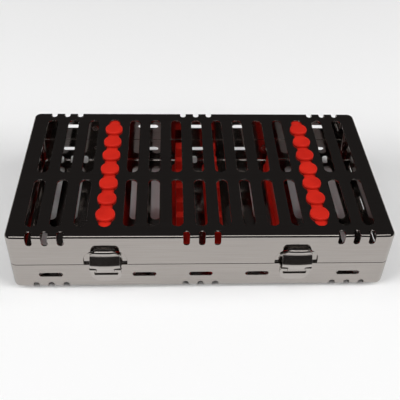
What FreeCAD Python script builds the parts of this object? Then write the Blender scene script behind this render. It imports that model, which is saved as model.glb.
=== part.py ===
import FreeCAD, Part
import math
import os

# Instrument cassette: a perforated steel tray and lid, hinged at the back, held shut by two front latches,
# with silicone rails that hold the instruments. Millimetres, +Z up, front at -Y.
# The origin is on the resting plane, under the middle of the closed cassette.

# Closed steel case
LENGTH = 203.0
DEPTH = 112.0
HEIGHT = 38.0
SHEET = 0.9
CORNER_RADIUS = 4.0
LID_BEND_RADIUS = 1.6
TRAY_BEND_RADIUS = 2.4

# Seam between the two shells, measured from the underside of the tray
SEAM_HEIGHT = 17.6
SEAM_GAP = 0.3
LIP_GAP = 0.5
LIP_HEIGHT = 7.4
LIP_REAR_END = 44.0

# Perforations
COLUMN_PITCH = 12.7
OUTER_COLUMN = 7
SLOT_WIDTH = 6.3
ROW_END = 47.8
BRIDGE_WIDTH = 6.6
BRIDGE_CENTRE = -6.7
VENT_LENGTH = 12.7
VENT_WIDTH = 2.9
VENT_INSET = 10.0
VENT_SPACING = 30.5
OUTER_VENT = 80.5
NOTCH_WIDTH = 3.4
NOTCH_PITCH = 8.1
NOTCH_GROUP = 81.0
NOTCH_RUN_ON_FACE = 4.5
NOTCH_RUN_ON_LID_WALL = 6.0
NOTCH_RUN_ON_TRAY_WALL = 4.0
NOTCH_REACH = 2.5

# Silicone rails
RAIL_SLOT_WIDTH = 6.9
RAIL_SLOT_LENGTH = 96.3
RAIL_FIT = 0.1
BUTTON_DIAMETER = 10.3
BUTTON_HEIGHT = 1.6
BUTTON_SIDES = 12
BUTTON_COUNT = 7
BUTTON_PITCH = 12.8
BUTTON_ROW_OFFSET = -1.0
NECK_HEIGHT = 0.5
FLANGE_WIDTH = 10.4
FLANGE_MARGIN = 1.5
FLANGE_THICKNESS = 2.0
COMB_ROOT_WIDTH = 6.8
COMB_TIP_WIDTH = 5.6
COMB_LENGTH = 96.0
SEAT_RADIUS = 4.0
SEAT_SIDES = 8
LID_SEAT_CLEARANCE = 0.3
INSTRUMENT_AXIS = 14.5
OUTER_COMB_TOP = 15.0
CENTRE_COMB_TOP = 20.5
LID_COMB_END = 16.6

# Columns and places that carry a rail instead of slots
LID_RAIL_COLUMNS = {"left": -4, "right": 5}
TRAY_RAIL_COLUMNS = {"left": -4, "right": 4}
CENTRE_RAIL_X = 10.0

# Rear hinges
HINGE_X = 55.5
HINGE_WIDTH = 30.0
HINGE_SHEET = 1.0
HINGE_PIN_DIAMETER = 2.4
HINGE_STANDOFF = 0.3
HINGE_LEAF_REACH = 13.0
HINGE_KNEE = 2.5
HINGE_LEAF_CORNER = 2.0
KNUCKLE_COUNT = 3
KNUCKLE_GAP = 0.2
PIN_CLEARANCE = 0.05
HINGE_PIN_END = 0.4
RIVET_DIAMETER = 2.5
RIVET_SIDES = 8
RIVET_HEAD_DIAMETER = 4.4
RIVET_HEAD_HEIGHT = 0.6
RIVET_SPACING = 18.0
RIVET_FROM_AXIS = 8.0
RIVET_CLEARANCE = 0.05

# Front latches
LATCH_X = 50.8
LATCH_SHEET = 0.75
LATCH_AXIS_HEIGHT = 16.3
LATCH_PIN_DIAMETER = 1.6
LATCH_STANDOFF = 0.3
LATCH_PIN_END = 0.4
BRACKET_WIDTH = 16.4
BRACKET_DROP = 10.5
BRACKET_CORNER = 5.5
BRACKET_KNUCKLE = 3.4
LEVER_WIDTH = 16.0
LEVER_TOP_WIDTH = 11.4
LEVER_WAIST_RISE = 2.0
LEVER_RIDGE_REACH = 4.25
LEVER_RIDGE_HEIGHT = 21.4
LEVER_BROW_REACH = 2.9
HOOK_GAP = 0.3
HOOK_BEND = 0.95
EYEBROW_REACH = 1.8
EYEBROW_WIDTH = 10.0
EYEBROW_BEND = 0.6
ARCH_WIDTH = 23.0
ARCH_HEIGHT = 10.4
ARCH_CORNER = 7.0

# Levels and planes worked out from the sizes above
UNDERSIDE = BUTTON_HEIGHT
TOP = UNDERSIDE + HEIGHT
SEAM = UNDERSIDE + SEAM_HEIGHT
FLOOR_FACE = UNDERSIDE + SHEET
CEILING_FACE = TOP - SHEET
FRONT = -DEPTH / 2
REAR = DEPTH / 2
LIP_INSET = SHEET + LIP_GAP
LIP_TOP = SEAM + LIP_HEIGHT
ARCH_TOP = SEAM + ARCH_HEIGHT
HINGE_BARREL_RADIUS = HINGE_PIN_DIAMETER / 2 + PIN_CLEARANCE + HINGE_SHEET
HINGE_AXIS_Y = REAR + HINGE_STANDOFF + HINGE_BARREL_RADIUS
HINGE_AXIS_Z = UNDERSIDE + HEIGHT / 2
KNUCKLE_PITCH = (HINGE_WIDTH + KNUCKLE_GAP) / KNUCKLE_COUNT
LATCH_BARREL_RADIUS = LATCH_PIN_DIAMETER / 2 + PIN_CLEARANCE + LATCH_SHEET
LATCH_AXIS_Y = FRONT - LATCH_STANDOFF - LATCH_BARREL_RADIUS
LATCH_AXIS_Z = UNDERSIDE + LATCH_AXIS_HEIGHT
LATCH_TOP = ARCH_TOP + SHEET + HOOK_GAP + LATCH_SHEET

# Corner cut that turns the end of a slot into half of a regular octagon, as a share of its width
OCTAGON_CUT = 1 - math.sqrt(0.5)
TINY = 0.001
OVERRUN = 2.0
X_AXIS = FreeCAD.Vector(1, 0, 0)
Y_AXIS = FreeCAD.Vector(0, 1, 0)
Z_AXIS = FreeCAD.Vector(0, 0, 1)
ORIGIN = FreeCAD.Vector(0, 0, 0)


def point(x, y, z):
    return FreeCAD.Vector(x, y, z)


def box(low, high):
    size = high - low
    return Part.makeBox(size.x, size.y, size.z, low)


def line(start, end):
    return Part.LineSegment(start, end).toShape()


def prism(corners, reach):
    """Solid from a closed outline of straight sides, extruded by the vector reach."""
    outline = Part.makePolygon(corners + corners[:1])
    return Part.Face(outline).extrude(reach)


def upright_edges(solid):
    return [e for e in solid.Edges if abs(e.tangentAt(e.FirstParameter).z) > 1 - TINY]


def edges_at_level(solid, level):
    return [e for e in solid.Edges if all(abs(v.Z - level) < TINY for v in e.Vertexes)]


def rounded_block(length, depth, low, high, corner):
    block = box(point(-length / 2, -depth / 2, low), point(length / 2, depth / 2, high))
    return block.makeFillet(corner, upright_edges(block))


def inset_block(inset, low, high):
    """Block with the plan of the case, drawn in by inset all round."""
    return rounded_block(LENGTH - 2 * inset, DEPTH - 2 * inset, low, high, CORNER_RADIUS - inset)


def pan(closed_level, open_level, bend):
    """Drawn sheet pan: a flat face at closed_level, walls up or down to open_level."""
    inward = math.copysign(SHEET, open_level - closed_level)
    inner_closed = closed_level + inward
    inner_open = open_level + inward
    outer = inset_block(0, min(closed_level, open_level), max(closed_level, open_level))
    outer = outer.makeFillet(bend, edges_at_level(outer, closed_level))
    inner = inset_block(SHEET, min(inner_closed, inner_open), max(inner_closed, inner_open))
    flat_bend = (bend - SHEET) * (2 - math.sqrt(2))
    inner = inner.makeChamfer(flat_bend, edges_at_level(inner, inner_closed))
    return outer.cut(inner)


def strip(length, width, thickness, centre, along, through):
    """Solid with half-octagon ends, its long side along one axis and its thickness centred through another."""
    half = length / 2
    side = width / 2
    cut = width * OCTAGON_CUT
    low = -thickness / 2
    corners = []
    for end, edge in ((-1, -1), (1, -1), (1, 1), (-1, 1)):
        on_end = point(end * half, edge * (side - cut), low)
        on_edge = point(end * (half - cut), edge * side, low)
        corners += [on_end, on_edge] if end == edge else [on_edge, on_end]
    solid = prism(corners, point(0, 0, thickness))
    across = through.cross(along)
    solid.Placement = FreeCAD.Placement(centre, FreeCAD.Rotation(along, across, through))
    return solid


def flat_sided_bar(sides, radius, length, base, along):
    """Regular prism standing on the point base, with its corners at the given radius."""
    turns = [2 * math.pi * (index + 0.5) / sides for index in range(sides)]
    solid = prism([point(radius * math.cos(t), radius * math.sin(t), 0) for t in turns], point(0, 0, length))
    solid.Placement = FreeCAD.Placement(base, FreeCAD.Rotation(Z_AXIS, along))
    return solid


def face_slots(columns, level):
    """Front and back rows of slots through a horizontal sheet at the given level."""
    front_end = BRIDGE_CENTRE - BRIDGE_WIDTH / 2
    back_start = BRIDGE_CENTRE + BRIDGE_WIDTH / 2
    rows = [(-ROW_END, front_end), (back_start, ROW_END)]
    cutters = []
    for column in columns:
        for start, end in rows:
            centre = point(column * COLUMN_PITCH, (start + end) / 2, level)
            cutters.append(strip(end - start, SLOT_WIDTH, 2 * OVERRUN, centre, Y_AXIS, Z_AXIS))
    return cutters


def rail_slot(x, level):
    centre = point(x, 0, level)
    return strip(RAIL_SLOT_LENGTH, RAIL_SLOT_WIDTH, 2 * OVERRUN, centre, Y_AXIS, Z_AXIS)


def long_wall_vents(y, z):
    """The five vents of a front or rear wall."""
    places = [-OUTER_VENT, -VENT_SPACING, 0, VENT_SPACING, OUTER_VENT]
    return [strip(VENT_LENGTH, VENT_WIDTH, 2 * OVERRUN, point(x, y, z), X_AXIS, Y_AXIS) for x in places]


def end_wall_vents(z):
    """The three vents of each end wall."""
    cutters = []
    for x in (-LENGTH / 2, LENGTH / 2):
        for y in (-VENT_SPACING, 0, VENT_SPACING):
            cutters.append(strip(VENT_LENGTH, VENT_WIDTH, 2 * OVERRUN, point(x, y, z), Y_AXIS, X_AXIS))
    return cutters


def bend_notches(level, wall_run):
    """Groups of three notches across the front and rear bends of a pan whose flat face is at level."""
    inward = math.copysign(1, SEAM - level)
    cutters = []
    for group in (-NOTCH_GROUP, 0, NOTCH_GROUP):
        for step in (-NOTCH_PITCH, 0, NOTCH_PITCH):
            for wall, into in ((FRONT, 1), (REAR, -1)):
                run = NOTCH_RUN_ON_FACE + OVERRUN
                middle = wall + into * (NOTCH_RUN_ON_FACE - OVERRUN) / 2
                on_face = point(group + step, middle, level)
                cutters.append(strip(run, NOTCH_WIDTH, 2 * NOTCH_REACH, on_face, Y_AXIS, Z_AXIS))
                rise = wall_run + OVERRUN
                height = level + inward * (wall_run - OVERRUN) / 2
                on_wall = point(group + step, wall, height)
                cutters.append(strip(rise, NOTCH_WIDTH, 2 * NOTCH_REACH, on_wall, Z_AXIS, Y_AXIS))
    return cutters


def rivet_places(side):
    """Centres of one leaf's rivets in X and Z. side is -1 on the tray and +1 on the lid."""
    z = HINGE_AXIS_Z + side * RIVET_FROM_AXIS
    places = []
    for hinge in (-HINGE_X, HINGE_X):
        for offset in (-RIVET_SPACING / 2, RIVET_SPACING / 2):
            places.append((hinge + offset, z))
    return places


def rivet_holes(side):
    radius = RIVET_DIAMETER / 2 + RIVET_CLEARANCE
    start = REAR - SHEET - OVERRUN
    length = SHEET + HINGE_SHEET + 2 * OVERRUN
    return [flat_sided_bar(RIVET_SIDES, radius, length, point(x, start, z), Y_AXIS) for x, z in rivet_places(side)]


def tray_lip():
    """Joggled lip inside the lid's front and end skirts, on the shoulder that the lid's edge comes down to."""
    hollow = inset_block(LIP_INSET + SHEET, SEAM - SHEET - OVERRUN, LIP_TOP + OVERRUN)
    shoulder = inset_block(0, SEAM - SHEET, SEAM)
    lip = inset_block(LIP_INSET, SEAM - SHEET, LIP_TOP)
    rear = box(point(-LENGTH, LIP_REAR_END, UNDERSIDE), point(LENGTH, DEPTH, TOP))
    return shoulder.fuse(lip).cut([hollow, rear])


def tray_shell():
    rails = [rail_slot(column * COLUMN_PITCH, UNDERSIDE) for column in TRAY_RAIL_COLUMNS.values()]
    rails += [rail_slot(x, UNDERSIDE) for x in (-CENTRE_RAIL_X, CENTRE_RAIL_X)]
    taken = list(TRAY_RAIL_COLUMNS.values()) + [-1, 0, 1]
    columns = [c for c in range(-OUTER_COLUMN, OUTER_COLUMN + 1) if c not in taken]
    vent_level = UNDERSIDE + VENT_INSET
    cutters = rails + face_slots(columns, UNDERSIDE)
    cutters += long_wall_vents(FRONT, vent_level) + long_wall_vents(REAR, vent_level)
    cutters += end_wall_vents(vent_level)
    cutters += bend_notches(UNDERSIDE, NOTCH_RUN_ON_TRAY_WALL)
    cutters += rivet_holes(-1)
    shell = pan(UNDERSIDE, SEAM, TRAY_BEND_RADIUS).fuse(tray_lip())
    return shell.removeSplitter().cut(cutters)


def latch_arch(x):
    """Opening in the lid's front skirt round one latch, with a round top."""
    low = point(x - ARCH_WIDTH / 2, FRONT - OVERRUN, SEAM - OVERRUN)
    high = point(x + ARCH_WIDTH / 2, FRONT + OVERRUN, ARCH_TOP)
    block = box(low, high)
    crown = [
        e
        for e in edges_at_level(block, ARCH_TOP)
        if abs(e.Vertexes[0].X - e.Vertexes[1].X) < TINY
    ]
    return block.makeFillet(ARCH_CORNER, crown)


def eyebrow(x):
    """Lip bent out of the top of the arch, which the latch's hook holds down."""
    front = FRONT - EYEBROW_REACH
    low = point(x - EYEBROW_WIDTH / 2, front, ARCH_TOP)
    high = point(x + EYEBROW_WIDTH / 2, FRONT + SHEET / 2, ARCH_TOP + SHEET)
    plate = box(low, high)
    tips = [e for e in upright_edges(plate) if abs(e.Vertexes[0].Y - front) < TINY]
    plate = plate.makeFillet(EYEBROW_REACH / 2, tips)
    corner = point(x - EYEBROW_WIDTH / 2, FRONT, ARCH_TOP + SHEET)
    outward = corner - point(0, EYEBROW_BEND, 0)
    upward = corner + point(0, 0, EYEBROW_BEND)
    middle = corner + point(0, -EYEBROW_BEND, EYEBROW_BEND) * (1 - math.sqrt(0.5))
    bend = Part.Wire([line(corner, outward), Part.Arc(outward, middle, upward).toShape(), line(upward, corner)])
    root = Part.Face(bend).extrude(point(EYEBROW_WIDTH, 0, 0))
    return plate.fuse(root)


def lid_shell():
    rails = [rail_slot(column * COLUMN_PITCH, TOP) for column in LID_RAIL_COLUMNS.values()]
    taken = list(LID_RAIL_COLUMNS.values())
    columns = [c for c in range(-OUTER_COLUMN, OUTER_COLUMN + 1) if c not in taken]
    vent_level = TOP - VENT_INSET
    cutters = rails + face_slots(columns, TOP)
    cutters += long_wall_vents(REAR, vent_level) + end_wall_vents(vent_level)
    cutters += bend_notches(TOP, NOTCH_RUN_ON_LID_WALL)
    cutters += rivet_holes(1)
    cutters += [latch_arch(x) for x in (-LATCH_X, LATCH_X)]
    shell = pan(TOP, SEAM + SEAM_GAP, LID_BEND_RADIUS).cut(cutters)
    return shell.fuse([eyebrow(x) for x in (-LATCH_X, LATCH_X)]).removeSplitter()


def button_places():
    middle = (BUTTON_COUNT - 1) / 2
    return [BUTTON_ROW_OFFSET + (index - middle) * BUTTON_PITCH for index in range(BUTTON_COUNT)]


def button(y):
    """Head outside the sheet."""
    outside = point(0, y, -SHEET - BUTTON_HEIGHT)
    return flat_sided_bar(BUTTON_SIDES, BUTTON_DIAMETER / 2, BUTTON_HEIGHT, outside, Z_AXIS)


def comb(height, seat_axis, seat_radius):
    """Tapered wall on the flange, with a seat across it for each instrument."""
    root = COMB_ROOT_WIDTH / 2
    tip = COMB_TIP_WIDTH / 2
    start = -COMB_LENGTH / 2
    base = FLANGE_THICKNESS / 2
    corners = [
        point(-root, start, base),
        point(root, start, base),
        point(tip, start, height),
        point(-tip, start, height),
    ]
    wall = prism(corners, point(0, COMB_LENGTH, 0))
    cutters = []
    for y in button_places():
        reach = FLANGE_WIDTH
        corner_radius = seat_radius / math.cos(math.pi / SEAT_SIDES)
        cutters.append(flat_sided_bar(SEAT_SIDES, corner_radius, reach, point(-reach / 2, y, seat_axis), X_AXIS))
        if height > seat_axis:
            low = point(-reach / 2, y - seat_radius, seat_axis)
            high = point(reach / 2, y + seat_radius, height + OVERRUN)
            cutters.append(box(low, high))
    return wall.cut(cutters)


def rail(height, seat_axis, seat_radius):
    """One silicone rail, standing on the inner face of its sheet at z = 0, with its buttons below the sheet."""
    flange_length = RAIL_SLOT_LENGTH + 2 * FLANGE_MARGIN
    flange_centre = point(0, 0, FLANGE_THICKNESS / 2)
    flange = strip(flange_length, FLANGE_WIDTH, FLANGE_THICKNESS, flange_centre, Y_AXIS, Z_AXIS)
    web_length = RAIL_SLOT_LENGTH - 2 * RAIL_FIT
    web_width = RAIL_SLOT_WIDTH - 2 * RAIL_FIT
    web_depth = SHEET + NECK_HEIGHT
    web_centre = point(0, 0, -web_depth / 2)
    web = strip(web_length, web_width, web_depth, web_centre, Y_AXIS, Z_AXIS)
    pieces = [web, comb(height, seat_axis, seat_radius)] + [button(y) for y in button_places()]
    return flange.fuse(pieces).removeSplitter()


def tray_rail(x, comb_top):
    solid = rail(comb_top - SHEET, INSTRUMENT_AXIS - SHEET, SEAT_RADIUS)
    solid.translate(point(x, 0, FLOOR_FACE))
    return solid


def lid_rail(x):
    """The same rail turned over about Y, so that its comb hangs from the lid."""
    height = HEIGHT - SHEET - LID_COMB_END
    seat_axis = HEIGHT - SHEET - INSTRUMENT_AXIS
    solid = rail(height, seat_axis, SEAT_RADIUS + LID_SEAT_CLEARANCE)
    solid.rotate(ORIGIN, Y_AXIS, 180)
    solid.translate(point(x, 0, CEILING_FACE))
    return solid


def ring(x_start, width, axis_y, axis_z, outer_radius, bore_radius):
    centre = point(x_start, axis_y, axis_z)
    outer = Part.makeCylinder(outer_radius, width, centre, X_AXIS)
    return outer.cut(Part.makeCylinder(bore_radius, width, centre, X_AXIS))


def hinge_leaf(x, side):
    """Leaf on the rear wall. side is -1 for the tray's, below the axis, and +1 for the lid's, above it."""
    start = x - HINGE_WIDTH / 2
    knee = HINGE_AXIS_Z + side * HINGE_KNEE
    end = HINGE_AXIS_Z + side * HINGE_LEAF_REACH
    plate = box(point(start, REAR, min(knee, end)), point(start + HINGE_WIDTH, REAR + HINGE_SHEET, max(knee, end)))
    corners = [e for e in plate.Edges if abs(e.tangentAt(e.FirstParameter).y) > 1 - TINY]
    corners = [e for e in corners if abs(e.Vertexes[0].Z - end) < TINY]
    plate = plate.makeFillet(HINGE_LEAF_CORNER, corners)
    bore = HINGE_PIN_DIAMETER / 2 + PIN_CLEARANCE
    inner = REAR + HINGE_STANDOFF
    pieces = []
    first = 0 if side < 0 else 1
    for index in range(first, KNUCKLE_COUNT, 2):
        low = start + index * KNUCKLE_PITCH
        width = KNUCKLE_PITCH - KNUCKLE_GAP
        strap = prism(
            [
                point(low, REAR, knee),
                point(low, REAR + HINGE_SHEET, knee),
                point(low, inner + HINGE_SHEET, HINGE_AXIS_Z),
                point(low, inner, HINGE_AXIS_Z),
            ],
            point(width, 0, 0),
        )
        hole = Part.makeCylinder(bore, width, point(low, HINGE_AXIS_Y, HINGE_AXIS_Z), X_AXIS)
        pieces.append(strap.cut(hole))
        pieces.append(ring(low, width, HINGE_AXIS_Y, HINGE_AXIS_Z, HINGE_BARREL_RADIUS, bore))
    leaf = plate.fuse(pieces).removeSplitter()
    return leaf.cut(rivet_holes(side))


def hinge_pin(x):
    length = HINGE_WIDTH + 2 * HINGE_PIN_END
    start = point(x - length / 2, HINGE_AXIS_Y, HINGE_AXIS_Z)
    return Part.makeCylinder(HINGE_PIN_DIAMETER / 2, length, start, X_AXIS)


def rivets(side):
    """The rivets of both hinges' leaves on one shell, as a group of separate solids."""
    inner_face = REAR - SHEET
    outer_face = REAR + HINGE_SHEET
    group = []
    for x, z in rivet_places(side):
        grip_start = point(x, inner_face, z)
        grip = flat_sided_bar(RIVET_SIDES, RIVET_DIAMETER / 2, outer_face - inner_face, grip_start, Y_AXIS)
        heads = []
        for face in (inner_face - RIVET_HEAD_HEIGHT, outer_face):
            base = point(x, face, z)
            heads.append(flat_sided_bar(RIVET_SIDES, RIVET_HEAD_DIAMETER / 2, RIVET_HEAD_HEIGHT, base, Y_AXIS))
        group.append(grip.fuse(heads))
    return Part.makeCompound(group)


def latch_bracket(x):
    """Plate on the tray's front wall, rolled into a knuckle at each side of its top."""
    left = x - BRACKET_WIDTH / 2
    right = x + BRACKET_WIDTH / 2
    bottom = LATCH_AXIS_Z - BRACKET_DROP
    plate = box(point(left, FRONT - LATCH_SHEET, bottom), point(right, FRONT, LATCH_AXIS_Z))
    round_edges = [e for e in plate.Edges if abs(e.tangentAt(e.FirstParameter).y) > 1 - TINY]
    round_edges = [e for e in round_edges if abs(e.Vertexes[0].Z - bottom) < TINY]
    plate = plate.makeFillet(BRACKET_CORNER, round_edges)
    gap_low = point(left + BRACKET_KNUCKLE, FRONT - OVERRUN, LATCH_AXIS_Z - LATCH_BARREL_RADIUS - LATCH_STANDOFF)
    gap_high = point(right - BRACKET_KNUCKLE, FRONT + OVERRUN, LATCH_AXIS_Z + OVERRUN)
    bore = LATCH_PIN_DIAMETER / 2 + PIN_CLEARANCE
    hole = Part.makeCylinder(bore, BRACKET_WIDTH, point(left, LATCH_AXIS_Y, LATCH_AXIS_Z), X_AXIS)
    knuckles = [
        ring(start, BRACKET_KNUCKLE, LATCH_AXIS_Y, LATCH_AXIS_Z, LATCH_BARREL_RADIUS, bore)
        for start in (left, right - BRACKET_KNUCKLE)
    ]
    return plate.cut([box(gap_low, gap_high), hole]).fuse(knuckles).removeSplitter()


def latch_pin(x):
    length = BRACKET_WIDTH + 2 * LATCH_PIN_END
    start = point(x - length / 2, LATCH_AXIS_Y, LATCH_AXIS_Z)
    return Part.makeCylinder(LATCH_PIN_DIAMETER / 2, length, start, X_AXIS)


def lever_profile(x):
    """Side view of the lever's sheet: up from the barrel, out to the ridge, in to the brow, and over as a hook."""
    half = LATCH_SHEET / 2
    barrel = FRONT - (LATCH_STANDOFF + 2 * LATCH_BARREL_RADIUS - half)
    ridge = point(x, FRONT - LEVER_RIDGE_REACH, UNDERSIDE + LEVER_RIDGE_HEIGHT)
    top = LATCH_TOP - half
    brow = point(x, FRONT - LEVER_BROW_REACH, top - HOOK_BEND)
    crown = point(x, FRONT - LEVER_BROW_REACH + HOOK_BEND, top)
    belly = (ridge + brow) * 0.5 - point(0, LATCH_SHEET / 2, 0)
    shoulder = point(x, crown.y - HOOK_BEND * math.sqrt(0.5), brow.z + HOOK_BEND * math.sqrt(0.5))
    tip = point(x, FRONT - LATCH_STANDOFF - half, top)
    path = Part.Wire([
        line(point(x, barrel, LATCH_AXIS_Z), ridge),
        Part.Arc(ridge, belly, brow).toShape(),
        Part.Arc(brow, shoulder, crown).toShape(),
        line(crown, tip),
    ])
    return Part.Face(path.makeOffset2D(half, 0, False, False))


def lever_outline(x):
    """Front view of the lever: a tongue between the bracket's knuckles, a full-width plate, a narrower top."""
    wide = LEVER_WIDTH / 2
    narrow = LEVER_TOP_WIDTH / 2
    tongue = BRACKET_WIDTH / 2 - BRACKET_KNUCKLE - KNUCKLE_GAP
    plate_start = LATCH_AXIS_Z + LATCH_BARREL_RADIUS + 2 * LATCH_STANDOFF
    waist = UNDERSIDE + LEVER_RIDGE_HEIGHT + LEVER_WAIST_RISE
    back = FRONT + OVERRUN
    corners = [
        point(x - tongue, back, LATCH_AXIS_Z - OVERRUN),
        point(x + tongue, back, LATCH_AXIS_Z - OVERRUN),
        point(x + tongue, back, plate_start),
        point(x + wide, back, plate_start),
        point(x + wide, back, waist),
        point(x + narrow, back, LATCH_TOP + OVERRUN),
        point(x - narrow, back, LATCH_TOP + OVERRUN),
        point(x - wide, back, waist),
        point(x - wide, back, plate_start),
        point(x - tongue, back, plate_start),
    ]
    return prism(corners, point(0, -LEVER_RIDGE_REACH - 2 * OVERRUN, 0))


def latch_lever(x):
    sheet = lever_profile(x - LEVER_WIDTH / 2).extrude(point(LEVER_WIDTH, 0, 0))
    sheet = sheet.common(lever_outline(x))
    tongue = BRACKET_WIDTH - 2 * (BRACKET_KNUCKLE + KNUCKLE_GAP)
    start = x - tongue / 2
    bore = LATCH_PIN_DIAMETER / 2 + PIN_CLEARANCE
    hole = Part.makeCylinder(bore, tongue, point(start, LATCH_AXIS_Y, LATCH_AXIS_Z), X_AXIS)
    knuckle = ring(start, tongue, LATCH_AXIS_Y, LATCH_AXIS_Z, LATCH_BARREL_RADIUS, bore)
    return sheet.cut(hole).fuse(knuckle).removeSplitter()


def build_nodes():
    nodes = {"tray_shell": tray_shell(), "lid_shell": lid_shell()}
    for name, column in LID_RAIL_COLUMNS.items():
        nodes["lid_rail_" + name] = lid_rail(column * COLUMN_PITCH)
    for name, column in TRAY_RAIL_COLUMNS.items():
        nodes["tray_rail_" + name] = tray_rail(column * COLUMN_PITCH, OUTER_COMB_TOP)
    for name, side in (("left", -1), ("right", 1)):
        nodes["tray_rail_centre_" + name] = tray_rail(side * CENTRE_RAIL_X, CENTRE_COMB_TOP)
        nodes["hinge_tray_leaf_" + name] = hinge_leaf(side * HINGE_X, -1)
        nodes["hinge_lid_leaf_" + name] = hinge_leaf(side * HINGE_X, 1)
        nodes["hinge_pin_" + name] = hinge_pin(side * HINGE_X)
        nodes["latch_bracket_" + name] = latch_bracket(side * LATCH_X)
        nodes["latch_lever_" + name] = latch_lever(side * LATCH_X)
        nodes["latch_pin_" + name] = latch_pin(side * LATCH_X)
    nodes["tray_hinge_rivets"] = rivets(-1)
    nodes["lid_hinge_rivets"] = rivets(1)
    return nodes


def main():
    os.makedirs("parts", exist_ok=True)
    for name, shape in build_nodes().items():
        shape.exportStep("parts/" + name + ".step")
        print(name, "valid" if shape.isValid() else "NOT VALID", len(shape.Solids), round(shape.Volume, 2))


main()
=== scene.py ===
# %% [markdown]
# A steel cassette for surgical instruments
#
# The object is a flat box of thin stainless steel: a perforated tray, a perforated lid hinged to it at
# the back, two small spring latches at the front, and red silicone rails whose round buttons stand on the
# outside of the sheet. The exact solids come from the CAD frame. This lesson dresses them: it models the
# sheet with its round-ended slots and softened edges, the moulded rubber and the domed rivets, and gives
# every surface its finish.

# %% Load the CAD frame
import math

import bmesh
import bpy
from mathutils import Matrix, Vector


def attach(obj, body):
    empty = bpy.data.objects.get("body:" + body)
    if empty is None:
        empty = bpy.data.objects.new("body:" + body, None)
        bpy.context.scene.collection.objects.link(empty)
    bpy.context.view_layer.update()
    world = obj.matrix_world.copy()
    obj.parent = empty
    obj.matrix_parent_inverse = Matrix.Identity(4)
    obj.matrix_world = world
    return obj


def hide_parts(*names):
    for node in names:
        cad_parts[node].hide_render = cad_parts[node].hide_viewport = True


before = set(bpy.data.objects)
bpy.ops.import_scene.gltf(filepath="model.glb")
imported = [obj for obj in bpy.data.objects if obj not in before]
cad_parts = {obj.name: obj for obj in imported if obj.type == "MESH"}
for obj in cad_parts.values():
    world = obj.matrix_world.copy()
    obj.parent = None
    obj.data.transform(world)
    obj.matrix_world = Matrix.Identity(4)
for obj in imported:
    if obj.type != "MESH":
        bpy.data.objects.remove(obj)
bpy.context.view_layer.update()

# %% [markdown]
# Sizes
#
# The real case is about 203 by 112 by 38 mm. The same sizes are used as in the solids, in millimetres, so
# that each dressed piece lies exactly where its solid is. Z = 0 is the table; the tray's buttons lift the
# sheet a little.

# %% Sizes of the case
MM = 0.001
X, Y, Z = 0, 1, 2
LENGTH = 203.0
DEPTH = 112.0
SHEET = 0.9
CORNER_RADIUS = 4.0
UNDERSIDE = 1.6
TOP = 39.6
SEAM = 19.2
SEAM_GAP = 0.3
FRONT = -DEPTH / 2
REAR = DEPTH / 2
COLUMN_PITCH = 12.7
COLUMNS = range(-7, 8)
BROKEN_EDGE = 0.12
print("case", LENGTH, "by", DEPTH, "by", round(TOP - UNDERSIDE, 1), "mm")

# %% [markdown]
# Working like a sheet-metal shop
#
# A press shop blanks the sheet, draws the pan, punches the openings and breaks the sharp edges. The same
# order works in Blender: a block is bevelled into the pan's outside, its open face is deleted, Solidify
# gives the sheet its thickness, Boolean cutters punch it, and a narrow bevel breaks the edges. A few
# small helpers do the handwork.

# %% Helpers: select, bevel and apply
PARALLEL = 0.999
NEAR = 0.002
SLACK = 0.01
WELD = 0.003
FINE_WELD = 0.001


def only(piece):
    """Object mode, with just this piece selected and active."""
    if bpy.context.mode != "OBJECT":
        bpy.ops.object.mode_set(mode="OBJECT")
    bpy.ops.object.select_all(action="DESELECT")
    piece.select_set(True)
    bpy.context.view_layer.objects.active = piece


def settle(name):
    """Names the new primitive and puts its place into its mesh."""
    piece = bpy.context.object
    piece.name = name
    bpy.ops.object.transform_apply(location=True, rotation=True, scale=True)
    return piece


def block(name, low, high):
    """Cube with the given lowest and highest corners in millimetres."""
    low = Vector(low) * MM
    high = Vector(high) * MM
    bpy.ops.object.select_all(action="DESELECT")
    bpy.ops.mesh.primitive_cube_add(size=1, location=(low + high) / 2, scale=high - low)
    return settle(name)


def drum(name, centre, axis, radius, depth, sides=40):
    """Cylinder in millimetres, its middle at centre and its length along one axis."""
    turn = [(0, math.pi / 2, 0), (math.pi / 2, 0, 0), (0, 0, 0)][axis]
    bpy.ops.object.select_all(action="DESELECT")
    bpy.ops.mesh.primitive_cylinder_add(
        vertices=sides, radius=radius * MM, depth=depth * MM, location=Vector(centre) * MM, rotation=turn
    )
    return settle(name)


def pick(piece, kind, wanted):
    """Edit mode on the piece, with just the wanted corners, edges or faces selected."""
    only(piece)
    bpy.ops.object.mode_set(mode="EDIT")
    bpy.ops.mesh.select_mode(type=kind)
    bpy.ops.mesh.select_all(action="DESELECT")
    shape = bmesh.from_edit_mesh(piece.data)
    parts = {"VERT": shape.verts, "EDGE": shape.edges, "FACE": shape.faces}[kind]
    for part in [p for p in parts if wanted(p)]:
        part.select_set(True)
    bmesh.update_edit_mesh(piece.data)


def runs_along(edge, axis):
    run = edge.verts[1].co - edge.verts[0].co
    return run.length > 0 and abs(run.normalized()[axis]) > PARALLEL


def lies_at(part, axis, place):
    """True where every corner of the edge or face is at that place on the axis, in millimetres."""
    return all(abs(v.co[axis] / MM - place) < NEAR for v in part.verts)


def bevel(piece, wanted, radius, steps, profile=0.5):
    pick(piece, "EDGE", wanted)
    bpy.ops.mesh.bevel(offset=radius * MM, segments=steps, profile=profile, affect="EDGES")
    bpy.ops.mesh.select_all(action="SELECT")
    bpy.ops.mesh.remove_doubles(threshold=WELD * MM)
    bpy.ops.object.mode_set(mode="OBJECT")


def apply_modifier(piece, kind, **settings):
    only(piece)
    modifier = piece.modifiers.new(kind.lower(), kind)
    for key, value in settings.items():
        setattr(modifier, key, value)
    bpy.ops.object.modifier_apply(modifier=modifier.name)


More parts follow.
